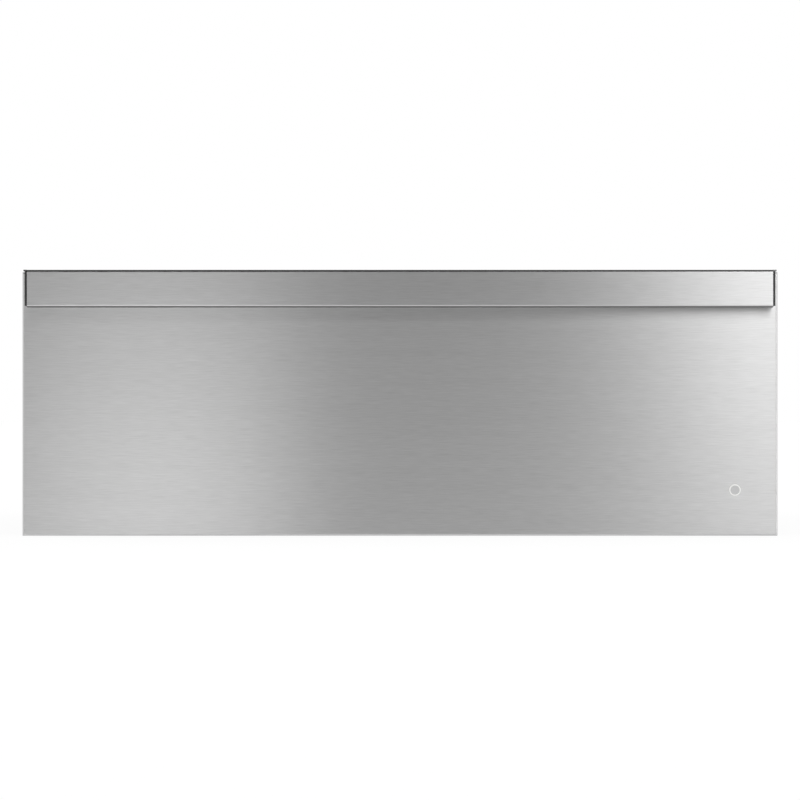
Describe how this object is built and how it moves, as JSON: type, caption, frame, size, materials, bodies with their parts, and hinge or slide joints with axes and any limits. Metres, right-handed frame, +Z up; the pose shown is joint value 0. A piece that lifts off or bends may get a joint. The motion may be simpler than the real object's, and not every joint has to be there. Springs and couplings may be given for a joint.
{
  "type": "built-in warming drawer",
  "caption": "Built-in warming drawer: an insulated case with a heated pan drawer on ball-bearing runners, behind a brushed front with a full-width handle.",
  "frame": {"origin": "middle of the front edge of the case's floor, in the plane of the cabinet's face", "axes": "+X to the right along the front, +Y to the rear, +Z up"},
  "size_m": [0.7556, 0.6365, 0.2652],
  "materials": {
    "brushed_front": "stainless sheet, brushed along its length",
    "stainless_liner": "plain mill-finish stainless sheet",
    "galvanized_case": "galvanized sheet with a faint spangle",
    "aluminized_reflector": "aluminized sheet, bright",
    "zinc_runner": "zinc-plated cold-rolled steel",
    "cage_steel": "zinc-plated cage and polished balls",
    "chrome_wire": "chrome-plated wire",
    "zinc_fasteners": "zinc-plated screws",
    "black_plastic": "moulded plastic, fine matt texture",
    "black_gloss": "moulded plastic, glossy",
    "smoked_lens": "smoked clear window",
    "circuit_board": "laminated board",
    "heater_sheath": "oxidized nickel alloy sheath",
    "white_ceramic": "steatite, unglazed",
    "grey_silicone": "silicone rubber, matt",
    "black_rubber": "rubber, matt",
    "mineral_wool": "compressed mineral wool"
  },
  "bodies": {
    "chassis": {"case_back": "galvanized_case", "case_screws": "zinc_fasteners", "case_shell": "galvanized_case", "case_top": "galvanized_case", "control_board": "circuit_board", "control_fascia": "black_gloss", "control_housing": "black_plastic", "display_lens": "smoked_lens", "drawer_bumpers": "black_rubber", "element_brackets": "galvanized_case", "element_bushings": "white_ceramic", "frame_screws": "zinc_fasteners", "heat_reflector": "aluminized_reflector", "heating_element": "heater_sheath", "insulation_back": "mineral_wool", "insulation_floor": "mineral_wool", "insulation_sides": "mineral_wool", "insulation_top": "mineral_wool", "junction_box": "galvanized_case", "junction_cover": "galvanized_case", "liner_back": "stainless_liner", "liner_side_left": "stainless_liner", "liner_side_right": "stainless_liner", "liner_top": "stainless_liner", "mounting_frame": "stainless_liner", "power_module": "black_plastic", "slide_outer_left": "zinc_runner", "slide_outer_right": "zinc_runner", "slide_screws": "zinc_fasteners", "supply_gland": "black_plastic", "temperature_sensor": "heater_sheath", "thermal_cutout": "black_plastic"},
    "drawer": {"slide_inner_left": "zinc_runner", "slide_inner_right": "zinc_runner", "drawer_rail_left": "galvanized_case", "drawer_rail_right": "galvanized_case", "drawer_brace": "galvanized_case", "warming_pan": "stainless_liner", "wire_rack": "chrome_wire", "front_skin": "brushed_front", "front_liner": "stainless_liner", "front_insulation": "mineral_wool", "drawer_gasket": "grey_silicone", "handle": "brushed_front", "handle_end_cap_left": "black_plastic", "handle_end_cap_right": "black_plastic", "handle_nuts": "zinc_fasteners", "badge_disc": "brushed_front", "drawer_screws": "zinc_fasteners"},
    "vent_slide": {"vent_slide": "stainless_liner"},
    "slide_middle_left": {"slide_middle_left": "zinc_runner"},
    "ball_cage_outer_left": {"ball_cage_outer_left": "cage_steel"},
    "ball_cage_inner_left": {"ball_cage_inner_left": "cage_steel"},
    "slide_middle_right": {"slide_middle_right": "zinc_runner"},
    "ball_cage_outer_right": {"ball_cage_outer_right": "cage_steel"},
    "ball_cage_inner_right": {"ball_cage_inner_right": "cage_steel"},
    "button_power": {"button_power": "black_gloss"},
    "button_timer": {"button_timer": "black_gloss"},
    "button_down": {"button_down": "black_gloss"},
    "button_up": {"button_up": "black_gloss"}
  },
  "joints": [
    {"name": "drawer_slide", "type": "slide", "parent": "chassis", "child": "drawer", "axis": [0, -1, 0], "range_m": [0, 0.47]},
    {"name": "slide_middle_left_slide", "type": "slide", "parent": "chassis", "child": "slide_middle_left", "axis": [0, -1, 0], "range_m": [0, 0.235]},
    {"name": "ball_cage_outer_left_slide", "type": "slide", "parent": "chassis", "child": "ball_cage_outer_left", "axis": [0, -1, 0], "range_m": [0, 0.1175]},
    {"name": "ball_cage_inner_left_slide", "type": "slide", "parent": "chassis", "child": "ball_cage_inner_left", "axis": [0, -1, 0], "range_m": [0, 0.3525]},
    {"name": "slide_middle_right_slide", "type": "slide", "parent": "chassis", "child": "slide_middle_right", "axis": [0, -1, 0], "range_m": [0, 0.235]},
    {"name": "ball_cage_outer_right_slide", "type": "slide", "parent": "chassis", "child": "ball_cage_outer_right", "axis": [0, -1, 0], "range_m": [0, 0.1175]},
    {"name": "ball_cage_inner_right_slide", "type": "slide", "parent": "chassis", "child": "ball_cage_inner_right", "axis": [0, -1, 0], "range_m": [0, 0.3525]},
    {"name": "button_power_press", "type": "slide", "parent": "chassis", "child": "button_power", "axis": [0, 1, 0], "range_m": [0, 0.0008], "stiffness_N_per_m": 800},
    {"name": "button_timer_press", "type": "slide", "parent": "chassis", "child": "button_timer", "axis": [0, 1, 0], "range_m": [0, 0.0008], "stiffness_N_per_m": 800},
    {"name": "button_down_press", "type": "slide", "parent": "chassis", "child": "button_down", "axis": [0, 1, 0], "range_m": [0, 0.0008], "stiffness_N_per_m": 800},
    {"name": "button_up_press", "type": "slide", "parent": "chassis", "child": "button_up", "axis": [0, 1, 0], "range_m": [0, 0.0008], "stiffness_N_per_m": 800},
    {"name": "vent_slide_move", "type": "slide", "parent": "drawer", "child": "vent_slide", "axis": [1, 0, 0], "range_m": [0, 0.016]}
  ],
  "couplings": [
    {"joint": "slide_middle_left_slide", "follows": "drawer_slide", "ratio": 0.5},
    {"joint": "ball_cage_outer_left_slide", "follows": "drawer_slide", "ratio": 0.25},
    {"joint": "ball_cage_inner_left_slide", "follows": "drawer_slide", "ratio": 0.75},
    {"joint": "slide_middle_right_slide", "follows": "drawer_slide", "ratio": 0.5},
    {"joint": "ball_cage_outer_right_slide", "follows": "drawer_slide", "ratio": 0.25},
    {"joint": "ball_cage_inner_right_slide", "follows": "drawer_slide", "ratio": 0.75}
  ]
}
